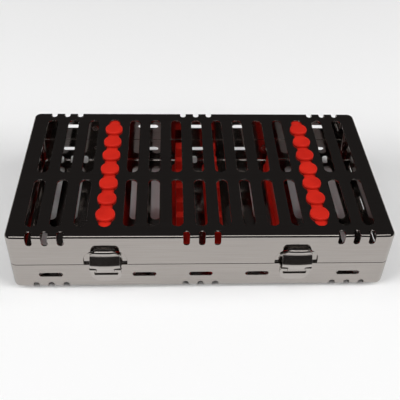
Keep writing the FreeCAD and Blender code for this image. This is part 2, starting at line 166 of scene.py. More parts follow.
def combine(piece, other, operation):
    """Boolean of two pieces. The other one is used up."""
    apply_modifier(piece, "BOOLEAN", operation=operation, solver="EXACT", object=other)
    bpy.data.objects.remove(other)


def join(pieces):
    only(pieces[0])
    for piece in pieces:
        piece.select_set(True)
    bpy.ops.object.join()
    return pieces[0]


def twin(piece, name, move=(0, 0, 0), turn=None):
    """Copy of a piece with its own mesh, turned and then moved in millimetres."""
    other = piece.copy()
    other.data = piece.data.copy()
    other.name = name
    bpy.context.scene.collection.objects.link(other)
    if turn:
        other.data.transform(turn)
    other.data.transform(Matrix.Translation(Vector(move) * MM))
    return other


def repeated(piece, moves):
    """The piece modelled once, copied to every move and joined."""
    name = piece.name
    made = [twin(piece, name, move) for move in moves]
    bpy.data.objects.remove(piece)
    row = join(made)
    row.name = name
    return row


print("helpers ready")

# %% [markdown]
# Broken edges
#
# Punched sheet is tumbled or brushed, so no edge is knife sharp, and each rim catches a thin line of
# light. A Bevel modifier limited by angle does that everywhere at once. Weighted normals then keep the
# flat faces truly flat in their reflections, because polished steel shows the smallest bend in the
# shading.


# %% Helper: soften the edges of a finished piece
def soften(piece, width, steps=2, angle=40):
    apply_modifier(piece, "TRIANGULATE", quad_method="BEAUTY", ngon_method="BEAUTY")
    apply_modifier(
        piece,
        "BEVEL",
        width=width * MM,
        segments=steps,
        limit_method="ANGLE",
        angle_limit=math.radians(angle),
        use_clamp_overlap=False,
        loop_slide=False,
    )
    only(piece)
    bpy.ops.object.shade_smooth_by_angle(angle=math.radians(50))
    apply_modifier(piece, "WEIGHTED_NORMAL", mode="FACE_AREA", weight=90, keep_sharp=True)
    print(piece.name, len(piece.data.polygons), "faces")


# %% [markdown]
# Punches
#
# The long slots, the vents and the notches across the bends all have full round ends. A slot punch is a
# block whose four long edges are bevelled by half of its width, so that the ends become half circles. It
# is modelled once for each size and copied along the sheet.


# %% Punches with round ends
def punch(name, centre, along, through, length, width, depth):
    """Block with round ends: length along one axis, depth through the sheet along another."""
    across = 3 - along - through
    size = [0, 0, 0]
    size[along] = length
    size[through] = depth
    size[across] = width
    low = [c - s / 2 for c, s in zip(centre, size)]
    high = [c + s / 2 for c, s in zip(centre, size)]
    piece = block(name, low, high)
    bevel(piece, lambda e: runs_along(e, through), width / 2, 8)
    return piece


SLOT_WIDTH = 6.3
ROW_END = 47.8
ROWS = ((-ROW_END, -10.0), (-3.4, ROW_END))
RAIL_SLOT_WIDTH = 6.9
RAIL_SLOT_LENGTH = 96.3
THROUGH = 4.0
VENT_LENGTH = 12.7
VENT_WIDTH = 2.9
VENT_FROM_FACE = 10
VENTS_FRONT = (-80.5, -30.5, 0, 30.5, 80.5)
VENTS_END = (-30.5, 0, 30.5)
NOTCH_WIDTH = 3.4
NOTCH_RUN = 4.5
NOTCH_THROUGH = 5.0
NOTCH_GROUPS = (-81.0, 0, 81.0)
NOTCH_STEPS = (-8.1, 0, 8.1)
NOTCHES = [group + step for group in NOTCH_GROUPS for step in NOTCH_STEPS]
OVERRUN = 2.0


def slot_punches(level, columns, rails):
    """Punches for both rows of slots and for the long slots that hold the rails."""
    made = []
    for start, end in ROWS:
        middle = (start + end) / 2
        one = punch("slots", (0, middle, level), Y, Z, end - start, SLOT_WIDTH, THROUGH)
        made.append(repeated(one, [(column * COLUMN_PITCH, 0, 0) for column in columns]))
    one = punch("rail_slots", (0, 0, level), Y, Z, RAIL_SLOT_LENGTH, RAIL_SLOT_WIDTH, THROUGH)
    made.append(repeated(one, [(x, 0, 0) for x in rails]))
    return made


def vent_punches(level, walls):
    """Punches for the vents of the front and rear walls that are named, and of both end walls."""
    made = []
    for wall in walls:
        one = punch("vents", (0, wall, level), X, Y, VENT_LENGTH, VENT_WIDTH, THROUGH)
        made.append(repeated(one, [(x, 0, 0) for x in VENTS_FRONT]))
    for wall in (-LENGTH / 2, LENGTH / 2):
        one = punch("end_vents", (wall, 0, level), Y, X, VENT_LENGTH, VENT_WIDTH, THROUGH)
        made.append(repeated(one, [(0, y, 0) for y in VENTS_END]))
    return made


def notch_punches(level, inward, wall_run):
    """Two sets of punches, one for the notches' runs on the flat face and one for those on the walls."""
    on_face = []
    on_wall = []
    for wall, into in ((FRONT, 1), (REAR, -1)):
        middle = wall + into * (NOTCH_RUN - OVERRUN) / 2
        one = punch("face_run", (0, middle, level), Y, Z, NOTCH_RUN + OVERRUN, NOTCH_WIDTH, NOTCH_THROUGH)
        on_face.append(repeated(one, [(x, 0, 0) for x in NOTCHES]))
        height = level + inward * (wall_run - OVERRUN) / 2
        one = punch("wall_run", (0, wall, height), Z, Y, wall_run + OVERRUN, NOTCH_WIDTH, NOTCH_THROUGH)
        on_wall.append(repeated(one, [(x, 0, 0) for x in NOTCHES]))
    return on_face, on_wall


HINGE_X = 55.5
RIVET_OFFSET = 9.0
RIVET_ROW = [hinge + offset for hinge in (-HINGE_X, HINGE_X) for offset in (-RIVET_OFFSET, RIVET_OFFSET)]
HINGE_AXIS = 20.6
RIVET_FROM_AXIS = 8.0
RIVET_HOLE_RADIUS = 1.3


def rivet_punches(side):
    """Punches for the rivets' holes in the rear wall. side is -1 on the tray and +1 on the lid."""
    centre = (0, REAR, HINGE_AXIS + side * RIVET_FROM_AXIS)
    one = drum("rivet_holes", centre, Y, RIVET_HOLE_RADIUS, THROUGH, 24)
    return [repeated(one, [(x, 0, 0) for x in RIVET_ROW])]


print("punches for", len(NOTCHES), "notches in each bend")


# %% [markdown]
# The drawn pan
#
# Both shells start as the same press work: one flat face and four walls, with rounded upright corners and
# a tight bend round the face. Bevelling a block gives those two radii directly; the upright corners come
# first, so that the second bevel can run all the way round.


# %% The pan's outside surface
def drawn_pan(name, closed, opened, bend):
    """Open box surface: the flat face at height closed, the walls ending at height opened."""
    piece = block(
        name,
        (-LENGTH / 2, FRONT, min(closed, opened)),
        (LENGTH / 2, REAR, max(closed, opened)),
    )
    bevel(piece, lambda e: runs_along(e, Z), CORNER_RADIUS, 8)
    bevel(piece, lambda e: lies_at(e, Z, closed), bend, 6)
    pick(piece, "FACE", lambda f: lies_at(f, Z, opened))
    bpy.ops.mesh.delete(type="ONLY_FACE")
    bpy.ops.object.mode_set(mode="OBJECT")
    return piece


def thicken(piece):
    """Gives the surface the sheet's thickness, inwards."""
    apply_modifier(
        piece, "SOLIDIFY", thickness=SHEET * MM, offset=-1, use_even_offset=True, use_rim=True
    )


# %% [markdown]
# The lid
#
# Its front skirt is cut away in an arch round each latch, and a small lip is left standing out of the top
# of the arch for the latch's hook to hold down. The arch is one more punch, with its two upper edges
# bevelled to a large radius. The lip is a little plate with rounded tips on a bent root, joined to the
# skirt with a Boolean union.

# %% Lid: pan, punches and arches
LATCH_X = 50.8
ARCH_TOP = 29.6
ARCH_HALF_WIDTH = 11.5
ARCH_CORNER = 7.0
EYEBROW_REACH = 1.8
LID_BEND = 1.6
LID_RAILS = {"left": -4 * COLUMN_PITCH, "right": 5 * COLUMN_PITCH}

lid = drawn_pan("lid_sheet", TOP, SEAM + SEAM_GAP, LID_BEND)
thicken(lid)
lid_columns = [column for column in COLUMNS if column not in (-4, 5)]
face_runs, wall_runs = notch_punches(TOP, -1, wall_run=6.0)
arch = block(
    "arches",
    (-ARCH_HALF_WIDTH, FRONT - OVERRUN, SEAM - OVERRUN),
    (ARCH_HALF_WIDTH, FRONT + OVERRUN, ARCH_TOP),
)
bevel(arch, lambda e: runs_along(e, Y) and lies_at(e, Z, ARCH_TOP), ARCH_CORNER, 12)
arches = repeated(arch, [(-LATCH_X, 0, 0), (LATCH_X, 0, 0)])
first_hits = slot_punches(TOP, lid_columns, LID_RAILS.values())
first_hits += vent_punches(TOP - VENT_FROM_FACE, [REAR]) + face_runs + rivet_punches(1)
combine(lid, join(first_hits), "DIFFERENCE")
combine(lid, join(wall_runs + [arches]), "DIFFERENCE")
print("lid punched:", len(lid.data.vertices), "corners")

# %% Lid: the lips over the latches
EYEBROW_HALF_WIDTH = 5
ROOT_RADIUS = 0.6
ROOT_DEPTH = 0.3
eyebrow_top = ARCH_TOP + SHEET
eyebrow = block(
    "eyebrow",
    (-EYEBROW_HALF_WIDTH, FRONT - EYEBROW_REACH, ARCH_TOP),
    (EYEBROW_HALF_WIDTH, FRONT + SHEET / 2, eyebrow_top),
)
bevel(eyebrow, lambda e: runs_along(e, Z) and lies_at(e, Y, FRONT - EYEBROW_REACH), EYEBROW_REACH / 2, 5)
root_front = FRONT - ROOT_RADIUS
root_top = eyebrow_top + ROOT_RADIUS
root = block(
    "eyebrow_root",
    (-EYEBROW_HALF_WIDTH, root_front, ARCH_TOP + SHEET / 2),
    (EYEBROW_HALF_WIDTH, FRONT + ROOT_DEPTH, root_top),
)
bevel(
    root,
    lambda e: runs_along(e, X) and lies_at(e, Y, root_front) and lies_at(e, Z, root_top),
    ROOT_RADIUS,
    5,
    profile=0.1,
)
combine(eyebrow, root, "UNION")
eyebrows = repeated(eyebrow, [(-LATCH_X, 0, 0), (LATCH_X, 0, 0)])
combine(lid, eyebrows, "UNION")
soften(lid, BROKEN_EDGE)

# %% [markdown]
# The tray
#
# The tray's rim is joggled: it steps in by the lid's thickness and stands up inside the lid, so that the
# two shells close flush. The step is made as a separate ring of wall, cut off near the back where the
# hinges are, and bridged to the edge of the pan before the sheet gets its thickness.

# %% Tray: pan with its joggled rim
LIP_INSET = 1.4
LIP_TOP = 26.6
LIP_REAR_END = 44.0
TRAY_BEND = 2.4
TRAY_RAILS = {
    "left": -4 * COLUMN_PITCH,
    "right": 4 * COLUMN_PITCH,
    "centre_left": -10.0,
    "centre_right": 10.0,
}


def on_rear_rim(face):
    """True for the rim's faces behind the cut, where the hinges are."""
    return all(v.co.z / MM > SEAM - SLACK and v.co.y / MM > LIP_REAR_END - SLACK for v in face.verts)


def open_at_seam(edge):
    """True for the open edges of the pan and of the rim that the step joins."""
    ahead = all(v.co.y / MM < LIP_REAR_END + SLACK for v in edge.verts)
    return edge.is_boundary and lies_at(edge, Z, SEAM) and ahead


tray = drawn_pan("tray_sheet", UNDERSIDE, SEAM, TRAY_BEND)
rim = block(
    "rim",
    (-LENGTH / 2 + LIP_INSET, FRONT + LIP_INSET, SEAM),
    (LENGTH / 2 - LIP_INSET, REAR - LIP_INSET, LIP_TOP),
)
bevel(rim, lambda e: runs_along(e, Z), CORNER_RADIUS - LIP_INSET, 8)
pick(rim, "FACE", lambda f: lies_at(f, Z, SEAM) or lies_at(f, Z, LIP_TOP))
bpy.ops.mesh.delete(type="ONLY_FACE")
tray = join([tray, rim])
bpy.ops.object.mode_set(mode="EDIT")
bpy.ops.mesh.select_all(action="SELECT")
bpy.ops.mesh.bisect(plane_co=(0, LIP_REAR_END * MM, 0), plane_no=(0, 1, 0))
pick(tray, "FACE", on_rear_rim)
bpy.ops.mesh.delete(type="FACE")
pick(tray, "EDGE", open_at_seam)
bpy.ops.mesh.bridge_edge_loops()
bpy.ops.object.mode_set(mode="OBJECT")
only(tray)
bpy.ops.object.mode_set(mode="EDIT")
bpy.ops.mesh.select_all(action="SELECT")
bpy.ops.mesh.normals_make_consistent(inside=False)
bpy.ops.object.mode_set(mode="OBJECT")
thicken(tray)
print("tray and rim:", len(tray.data.vertices), "corners")

# %% Tray: punches
tray_columns = [column for column in COLUMNS if column not in (-4, -1, 0, 1, 4)]
face_runs, wall_runs = notch_punches(UNDERSIDE, 1, wall_run=4.0)
first_hits = slot_punches(UNDERSIDE, tray_columns, TRAY_RAILS.values())
first_hits += vent_punches(UNDERSIDE + VENT_FROM_FACE, [FRONT, REAR]) + face_runs + rivet_punches(-1)
combine(tray, join(first_hits), "DIFFERENCE")
combine(tray, join(wall_runs), "DIFFERENCE")
soften(tray, BROKEN_EDGE)

# %% [markdown]
# The silicone rails
#
# Each rail is one moulding: a flange inside the sheet, a web that lies in the long slot a little below
# its outer face, seven round buttons that hold it from outside, and a comb inside with a half-round seat
# for every instrument. The buttons start as cylinders whose outer rims are bevelled round, because
# moulded rubber has soft corners. The pieces are merged with unions.

# %% One rail
BUTTON_COUNT = 7
BUTTON_PITCH = 12.8
BUTTON_MIDDLE = -1.0
BUTTON_PLACES = [BUTTON_MIDDLE + (index - BUTTON_COUNT // 2) * BUTTON_PITCH for index in range(BUTTON_COUNT)]
BUTTON_RADIUS = 5.15
BUTTON_HEIGHT = 1.6
BUTTON_CORNER = 0.6
STEM_OVERLAP = 0.4
RAIL_PLAY = 0.2
WEB_DEPTH = 0.3
FLANGE_SHEET = 2.0
FLANGE_WIDTH = 10.4
FLANGE_PAST_SLOT = 3
COMB_WIDTH = 6.8
COMB_TOP_WIDTH = 5.6
COMB_HALF_LENGTH = 48
COMB_FOOT = 1.0
SEAT_CUT_WIDTH = 12
SEAT_CUT_ABOVE = 4
RUBBER_EDGE = 0.15


def comb(height, seat_axis, seat_radius):
    """Tapered wall with its seats, standing on the flange."""
    foot = (-COMB_WIDTH / 2, -COMB_HALF_LENGTH, COMB_FOOT)
    wall = block("comb", foot, (COMB_WIDTH / 2, COMB_HALF_LENGTH, height))
    pick(wall, "FACE", lambda f: lies_at(f, Z, height))
    bpy.ops.transform.resize(value=(COMB_TOP_WIDTH / COMB_WIDTH, 1, 1))
    bpy.ops.object.mode_set(mode="OBJECT")
    seat = drum("seats", (0, 0, seat_axis), X, seat_radius, SEAT_CUT_WIDTH, 32)
    if height > seat_axis:
        low = (-SEAT_CUT_WIDTH / 2, -seat_radius, seat_axis)
        high = (SEAT_CUT_WIDTH / 2, seat_radius, height + SEAT_CUT_ABOVE)
        combine(seat, block("above", low, high), "UNION")
    combine(wall, repeated(seat, [(0, y, 0) for y in BUTTON_PLACES]), "DIFFERENCE")
    return wall


def rail(name, height, seat_axis, seat_radius):
    """A rail on the inner face of its sheet at z = 0, its buttons below the sheet."""
    flange_length = RAIL_SLOT_LENGTH + FLANGE_PAST_SLOT
    flange = punch(name, (0, 0, FLANGE_SHEET / 2), Y, Z, flange_length, FLANGE_WIDTH, FLANGE_SHEET)
    web_length = RAIL_SLOT_LENGTH - RAIL_PLAY
    web = punch("web", (0, 0, 0), Y, Z, web_length, RAIL_SLOT_WIDTH - RAIL_PLAY, 2 * WEB_DEPTH)
    button = drum("buttons", (0, 0, -SHEET - BUTTON_HEIGHT / 2), Z, BUTTON_RADIUS, BUTTON_HEIGHT, 40)
    bevel(button, lambda e: lies_at(e, Z, -SHEET - BUTTON_HEIGHT), BUTTON_CORNER, 4)
    stem_radius = RAIL_SLOT_WIDTH / 2 - RAIL_PLAY / 2
    stem = drum("stems", (0, 0, -SHEET / 2), Z, stem_radius, SHEET + STEM_OVERLAP, 32)
    combine(flange, web, "UNION")
    combine(flange, comb(height, seat_axis, seat_radius), "UNION")
    combine(button, stem, "UNION")
    combine(flange, repeated(button, [(0, y, 0) for y in BUTTON_PLACES]), "UNION")
    soften(flange, RUBBER_EDGE)
    return flange


# %% Rails of the tray and of the lid
outer_rail = rail("outer_rail", height=14.1, seat_axis=13.6, seat_radius=4.0)
centre_rail = rail("centre_rail", height=19.6, seat_axis=13.6, seat_radius=4.0)
hanging_rail = rail("hanging_rail", height=20.5, seat_axis=22.6, seat_radius=4.3)
floor_face = UNDERSIDE + SHEET
rails = {}
for place, x in TRAY_RAILS.items():
    source = centre_rail if "centre" in place else outer_rail
    rails["tray_rail_" + place] = twin(source, "tray_silicone_" + place, (x, 0, floor_face))
for place, x in LID_RAILS.items():
    half_turn = Matrix.Rotation(math.pi, 4, "Y")
    rails["lid_rail_" + place] = twin(hanging_rail, "lid_silicone_" + place, (x, 0, TOP - SHEET), half_turn)
for source in (outer_rail, centre_rail, hanging_rail):
    bpy.data.objects.remove(source)
print("rails", sorted(rails))

# %% [markdown]
# The rivets
#
# Each hinge leaf is held by two rivets with low domed heads outside and inside the wall. One rivet is a
# shank with two heads; a head is a short cylinder whose rim is bevelled by nearly its whole height, which
# leaves a low head with a rounded edge.


# %% One rivet, copied to every hole
SHANK_RADIUS = 1.25
SHANK_LENGTH = 2.4
RIVET_HEAD_RADIUS = 2.2
RIVET_HEAD_HEIGHT = 0.6
RIVET_HEAD_BEVEL = 0.55
RIVET_EDGE = 0.04
LEAF_SHEET = 1.0
SHANK_MIDDLE = REAR + 0.05


def rivet_row(name, side):
    z = HINGE_AXIS + side * RIVET_FROM_AXIS
    shank = drum(name, (0, SHANK_MIDDLE, z), Y, SHANK_RADIUS, SHANK_LENGTH, 24)
    for face, outward in ((REAR - SHEET, -1), (REAR + LEAF_SHEET, 1)):
        crown = face + outward * RIVET_HEAD_HEIGHT
        head = drum("head", (0, (face + crown) / 2, z), Y, RIVET_HEAD_RADIUS, RIVET_HEAD_HEIGHT, 32)
        bevel(head, lambda e: lies_at(e, Y, crown), RIVET_HEAD_BEVEL, 5)
        combine(shank, head, "UNION")
    row = repeated(shank, [(x, 0, 0) for x in RIVET_ROW])
    soften(row, RIVET_EDGE, steps=1, angle=60)
    return row


tray_rivets = rivet_row("tray_rivet_row", -1)
lid_rivets = rivet_row("lid_rivet_row", 1)
print("rivets", 2 * len(RIVET_ROW))

# %% [markdown]
# The latch levers
#
# A lever is pressed from springy strip. From its barrel it leans out to a ridge for the finger, slopes
# back over a long belly to a crease, and bulges out again as a hood, whose end hooks over the lip of the
# lid. Its sides are curled back a little, which stiffens it. The strip is extruded row by row along that
# side view, smoothed by subdivision while it is still a surface, thickened, and trimmed with a blanking
# outline.

# %% Lever: the pressed strip
LATCH_AXIS_Y = -57.9
LATCH_AXIS_Z = 17.9
LATCH_SHEET = 0.75
LEVER_HALF_WIDTH = 8.0
TONGUE_HALF_WIDTH = 4.35
TONGUE_COLUMN = 4.0
TONGUE_PAST_AXIS = 1.0
CURLED_COLUMNS = (4.0, 6.0, 8.0)
BARREL_WIDTH = 9.2
BARREL_RADIUS = 1.6
BORE_RADIUS = 0.85
BORE_LENGTH = 20
LATCH_EDGE = 0.08
OUTLINE_HALF_WIDTH = 7.9
OUTLINE_FRONT = FRONT - 6
OUTLINE_FOOT = 15
OUTLINE_TOP = 31.7
OUTLINE_CORNER = 5.0
SIDE_CURL = 0.5
LEVER_FOOT = (3.61, 20.1)
LEVER_RIDGE = (4.25, 21.9)
LEVER_BELLY = ((4.2, 22.3), (3.65, 23.2), (2.85, 24.4), (2.05, 25.6), (1.3, 26.8), (1.05, 27.5))
LEVER_HOOD_FRONT = ((1.35, 28.0), (2.1, 28.5), (2.85, 29.1), (3.0, 29.9))
LEVER_HOOD_TOP = ((2.85, 30.6), (2.1, 31.15), (0.7, 31.175))

rise = LEVER_RIDGE[1] - LEVER_FOOT[1]
bpy.ops.object.select_all(action="DESELECT")
bpy.ops.mesh.primitive_grid_add(
    x_subdivisions=8,
    y_subdivisions=1,
    size=1,
    location=Vector((0, FRONT - LEVER_FOOT[0], LEVER_FOOT[1] + rise / 2)) * MM,
    rotation=(math.pi / 2, 0, 0),
)
bpy.context.object.scale = (2 * LEVER_HALF_WIDTH * MM, rise * MM, 1)
lever = settle("lever")
pick(lever, "EDGE", lambda e: lies_at(e, Z, LEVER_RIDGE[1]))
bpy.ops.transform.translate(value=(0, (LEVER_FOOT[0] - LEVER_RIDGE[0]) * MM, 0))
reach, height = LEVER_RIDGE
for next_reach, next_height in LEVER_BELLY + LEVER_HOOD_FRONT + LEVER_HOOD_TOP:
    step = (0, (reach - next_reach) * MM, (next_height - height) * MM)
    bpy.ops.mesh.extrude_edges_move(TRANSFORM_OT_translate={"value": step})
    reach, height = next_reach, next_height
for column in CURLED_COLUMNS:
    pick(lever, "VERT", lambda v: abs(abs(v.co.x) / MM - column) < SLACK)
    bpy.ops.transform.translate(value=(0, SIDE_CURL * (column / LEVER_HALF_WIDTH) ** 2 * MM, 0))
pick(lever, "VERT", lambda v: abs(abs(v.co.x) / MM - TONGUE_COLUMN) < SLACK)
bpy.ops.transform.resize(value=(TONGUE_HALF_WIDTH / TONGUE_COLUMN, 1, 1), center_override=(0, 0, 0))


def is_tongue_root(edge):
    """True for the edges of the lever's foot that carry on as the tongue."""
    inside = all(abs(v.co.x) / MM < TONGUE_HALF_WIDTH + SLACK for v in edge.verts)
    return lies_at(edge, Z, LEVER_FOOT[1]) and inside


pick(lever, "EDGE", is_tongue_root)
tongue_back = LATCH_AXIS_Y - TONGUE_PAST_AXIS - FRONT + LEVER_FOOT[0]
tongue_end = (0, tongue_back * MM, (LATCH_AXIS_Z - LEVER_FOOT[1]) * MM)
bpy.ops.mesh.extrude_edges_move(TRANSFORM_OT_translate={"value": tongue_end})
bpy.ops.mesh.select_all(action="SELECT")
bpy.ops.mesh.remove_doubles(threshold=FINE_WELD * MM)
bpy.ops.mesh.normals_make_consistent(inside=False)
bpy.ops.object.mode_set(mode="OBJECT")
print("lever strip", len(lever.data.vertices), "corners")

# %% Lever: thickness, outline and barrel
apply_modifier(lever, "SUBSURF", levels=2, render_levels=2, boundary_smooth="PRESERVE_CORNERS")
apply_modifier(lever, "SOLIDIFY", thickness=LATCH_SHEET * MM, offset=0, use_even_offset=True)
outline = block(
    "outline",
    (-OUTLINE_HALF_WIDTH, OUTLINE_FRONT, OUTLINE_FOOT),
    (OUTLINE_HALF_WIDTH, FRONT + OVERRUN, OUTLINE_TOP),
)
bevel(outline, lambda e: runs_along(e, Y) and lies_at(e, Z, OUTLINE_TOP), OUTLINE_CORNER, 10)
combine(lever, outline, "INTERSECT")
barrel = drum("barrel", (0, LATCH_AXIS_Y, LATCH_AXIS_Z), X, BARREL_RADIUS, BARREL_WIDTH, 40)
bore = drum("bore", (0, LATCH_AXIS_Y, LATCH_AXIS_Z), X, BORE_RADIUS, BORE_LENGTH, 32)
combine(lever, barrel, "UNION")
combine(lever, bore, "DIFFERENCE")
soften(lever, LATCH_EDGE)
LATCH_PLACES = {"left": -LATCH_X, "right": LATCH_X}
levers = {side: twin(lever, "latch_lever_pressed_" + side, (x, 0, 0)) for side, x in LATCH_PLACES.items()}
bpy.data.objects.remove(lever)

# %% [markdown]
# The latch brackets
#
# The bracket is a small plate on the wall of the tray, with a rounded foot, rolled into a knuckle at each
# side of its top. A window between the knuckles leaves room for the lever's barrel to turn. The window's
# lower edge faces up to the dark room, so it reads as a thin dark line under the latch.

# %% Bracket: plate, window and knuckles
BRACKET_HALF_WIDTH = 8.2
BRACKET_FOOT = 7.4
BRACKET_CORNER = 5.5
WINDOW_HALF_WIDTH = 6.4
WINDOW_FOOT = 12.0
WINDOW_TOP = 16.4
WINDOW_CORNER = 0.8
CLEARANCE_FOOT = 15.0
CLEARANCE_TOP = 20
CUTTER_FRONT = FRONT - 3
CUTTER_BACK = FRONT + OVERRUN
KNUCKLE = 3.4
between_knuckles = BRACKET_HALF_WIDTH - KNUCKLE

bracket = block(
    "bracket",
    (-BRACKET_HALF_WIDTH, FRONT - LATCH_SHEET, BRACKET_FOOT),
    (BRACKET_HALF_WIDTH, FRONT, LATCH_AXIS_Z),
)
bevel(bracket, lambda e: runs_along(e, Y) and lies_at(e, Z, BRACKET_FOOT), BRACKET_CORNER, 10)
window = block(
    "window",
    (-WINDOW_HALF_WIDTH, CUTTER_FRONT, WINDOW_FOOT),
    (WINDOW_HALF_WIDTH, CUTTER_BACK, WINDOW_TOP),
)
bevel(window, lambda e: runs_along(e, Y), WINDOW_CORNER, 4)
combine(bracket, window, "DIFFERENCE")
clearance = block(
    "clearance",
    (-between_knuckles, CUTTER_FRONT, CLEARANCE_FOOT),
    (between_knuckles, CUTTER_BACK, CLEARANCE_TOP),
)
combine(bracket, clearance, "DIFFERENCE")
one_knuckle = drum("knuckle", (0, LATCH_AXIS_Y, LATCH_AXIS_Z), X, BARREL_RADIUS, KNUCKLE, 40)
knuckle_places = [(side * (BRACKET_HALF_WIDTH - KNUCKLE / 2), 0, 0) for side in (-1, 1)]
combine(bracket, repeated(one_knuckle, knuckle_places), "UNION")
bore = drum("bore", (0, LATCH_AXIS_Y, LATCH_AXIS_Z), X, BORE_RADIUS, BORE_LENGTH, 32)
combine(bracket, bore, "DIFFERENCE")
soften(bracket, LATCH_EDGE)
brackets = {}
for side, x in LATCH_PLACES.items():
    brackets[side] = twin(bracket, "latch_bracket_plate_" + side, (x, 0, 0))
bpy.data.objects.remove(bracket)

# %% [markdown]
# Hinges and pins
#
# The leaves, knuckles and pins are plain sheet-metal and wire work, and their solids already have that
# shape. What they lack is the broken edge. A copy of each solid is merged, its flat faces are dissolved
# into single faces, and the same narrow bevel is run round it.


# %% Broken edges on the small parts
def small_part(node, name, width):
    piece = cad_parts[node].copy()
    piece.data = piece.data.copy()
    piece.name = name
    for key in list(piece.keys()):
        del piece[key]
    bpy.context.scene.collection.objects.link(piece)
    piece.parent = None
    piece.matrix_world = Matrix.Identity(4)
    pick(piece, "FACE", lambda f: True)
    bpy.ops.mesh.remove_doubles(threshold=FINE_WELD * MM)
    bpy.ops.mesh.dissolve_limited(angle_limit=math.radians(1))
    bpy.ops.object.mode_set(mode="OBJECT")
    soften(piece, width)
    return piece


SMALL_PARTS = {
    "hinge_tray_leaf": ("tray", 0.1, "hinge_steel"),
    "hinge_lid_leaf": ("lid", 0.1, "hinge_steel"),
    "hinge_pin": ("tray", 0.15, "pin_steel"),
    "latch_pin": ("tray", 0.12, "pin_steel"),
}
small = {}
for kind, (body, width, finish) in SMALL_PARTS.items():
    for side in ("left", "right"):
        node = kind + "_" + side
        small[node] = small_part(node, kind + "_finished_" + side, width)
print("small parts", len(small))

# %% [markdown]
# Stainless steel
#
# Rolled and brushed stainless is a mirror with a memory of the abrasive belt: thousands of fine parallel
# scratches. They could be an image, but noise stretched along one axis gives the same streaks at any
# distance. The streaks run along the length of the case, and from front to back on the end walls, so
# the direction is chosen by the way the face points.

# %% Streaks
STRETCH = 0.02
END_FACING = 0.7


def streaks(tree, place, streak):
    """Stretched noise. It follows the case's length, or its depth on faces that point to an end."""
    nodes = tree.nodes
    links = tree.links
    facing = nodes.new("ShaderNodeNewGeometry")
    split = nodes.new("ShaderNodeSeparateXYZ")
    links.new(facing.outputs["Normal"], split.inputs[0])
    size = nodes.new("ShaderNodeMath")
    size.operation = "ABSOLUTE"
    links.new(split.outputs["X"], size.inputs[0])
    ends = nodes.new("ShaderNodeMath")
    ends.operation = "GREATER_THAN"
    ends.inputs[1].default_value = END_FACING
    links.new(size.outputs[0], ends.inputs[0])
    grains = []
    for scale in ((streak * STRETCH, streak, streak), (streak, streak * STRETCH, streak)):
        stretch = nodes.new("ShaderNodeMapping")
        stretch.inputs["Scale"].default_value = scale
        links.new(place.outputs["Object"], stretch.inputs["Vector"])
        grain = nodes.new("ShaderNodeTexNoise")
        grain.inputs["Scale"].default_value = 1.0
        grain.inputs["Detail"].default_value = 4.0
        grain.inputs["Roughness"].default_value = 0.6
        links.new(stretch.outputs[0], grain.inputs["Vector"])
        grains.append(grain)
    chosen = nodes.new("ShaderNodeMix")
    chosen.data_type = "FLOAT"
    links.new(ends.outputs[0], chosen.inputs["Factor"])
    links.new(grains[0].outputs["Fac"], chosen.inputs["A"])
    links.new(grains[1].outputs["Fac"], chosen.inputs["B"])
    return chosen.outputs["Result"]


# %% [markdown]
# The streaks shift the tone of the metal a little and give it a very fine relief. Together with a slow
# smudge, as handling leaves, they also vary the roughness. The sheet is smoother than the small parts.


# %% Steel finish
def steel(name, pale, dark, rough_low, rough_high, streak, bump):
    """Brushed metal. streak is the noise's scale to the metre, and bump the strength of its relief."""
    material = bpy.data.materials.new(name)
    material.use_nodes = True
    nodes = material.node_tree.nodes
    links = material.node_tree.links
    shader = nodes["Principled BSDF"]
    shader.inputs["Metallic"].default_value = 1.0
    place = nodes.new("ShaderNodeTexCoord")
    brushed = streaks(material.node_tree, place, streak)
    smudge = nodes.new("ShaderNodeTexNoise")
    smudge.inputs["Scale"].default_value = 28.0
    smudge.inputs["Detail"].default_value = 2.0
    links.new(place.outputs["Object"], smudge.inputs["Vector"])
    tone = nodes.new("ShaderNodeValToRGB")
    tone.color_ramp.elements[0].position = 0.3
    tone.color_ramp.elements[0].color = (*dark, 1)
    tone.color_ramp.elements[1].position = 0.7
    tone.color_ramp.elements[1].color = (*pale, 1)
    links.new(brushed, tone.inputs["Fac"])
    links.new(tone.outputs["Color"], shader.inputs["Base Color"])
    mixed = nodes.new("ShaderNodeMath")
    mixed.operation = "MULTIPLY"
    links.new(brushed, mixed.inputs[0])
    links.new(smudge.outputs["Fac"], mixed.inputs[1])
    rough = nodes.new("ShaderNodeMapRange")
    rough.inputs["From Min"].default_value = 0.1
    rough.inputs["From Max"].default_value = 0.45
    rough.inputs["To Min"].default_value = rough_low
    rough.inputs["To Max"].default_value = rough_high
    links.new(mixed.outputs[0], rough.inputs["Value"])
    links.new(rough.outputs[0], shader.inputs["Roughness"])
    relief = nodes.new("ShaderNodeBump")
    relief.inputs["Strength"].default_value = bump
    relief.inputs["Distance"].default_value = 0.00002
    links.new(brushed, relief.inputs["Height"])
    links.new(relief.outputs[0], shader.inputs["Normal"])
    return material


SHEET_PALE = (0.405, 0.375, 0.352)
SHEET_DARK = (0.355, 0.328, 0.308)
lid_steel = steel("lid_steel", SHEET_PALE, SHEET_DARK, 0.06, 0.13, 1500, 0.1)
tray_steel = steel("tray_steel", SHEET_PALE, SHEET_DARK, 0.08, 0.16, 1500, 0.1)
hinge_steel = steel("hinge_steel", (0.46, 0.43, 0.41), (0.38, 0.355, 0.335), 0.18, 0.3, 2200, 0.2)
latch_steel = steel("latch_steel", (0.45, 0.42, 0.40), (0.39, 0.365, 0.345), 0.1, 0.2, 2600, 0.12)
pin_steel = steel("pin_steel", (0.48, 0.45, 0.43), (0.41, 0.385, 0.365), 0.12, 0.22, 4000, 0.15)
rivet_steel = steel("rivet_steel", (0.48, 0.45, 0.43), (0.39, 0.365, 0.345), 0.15, 0.3, 1800, 0.2)
print("steel finishes ready")

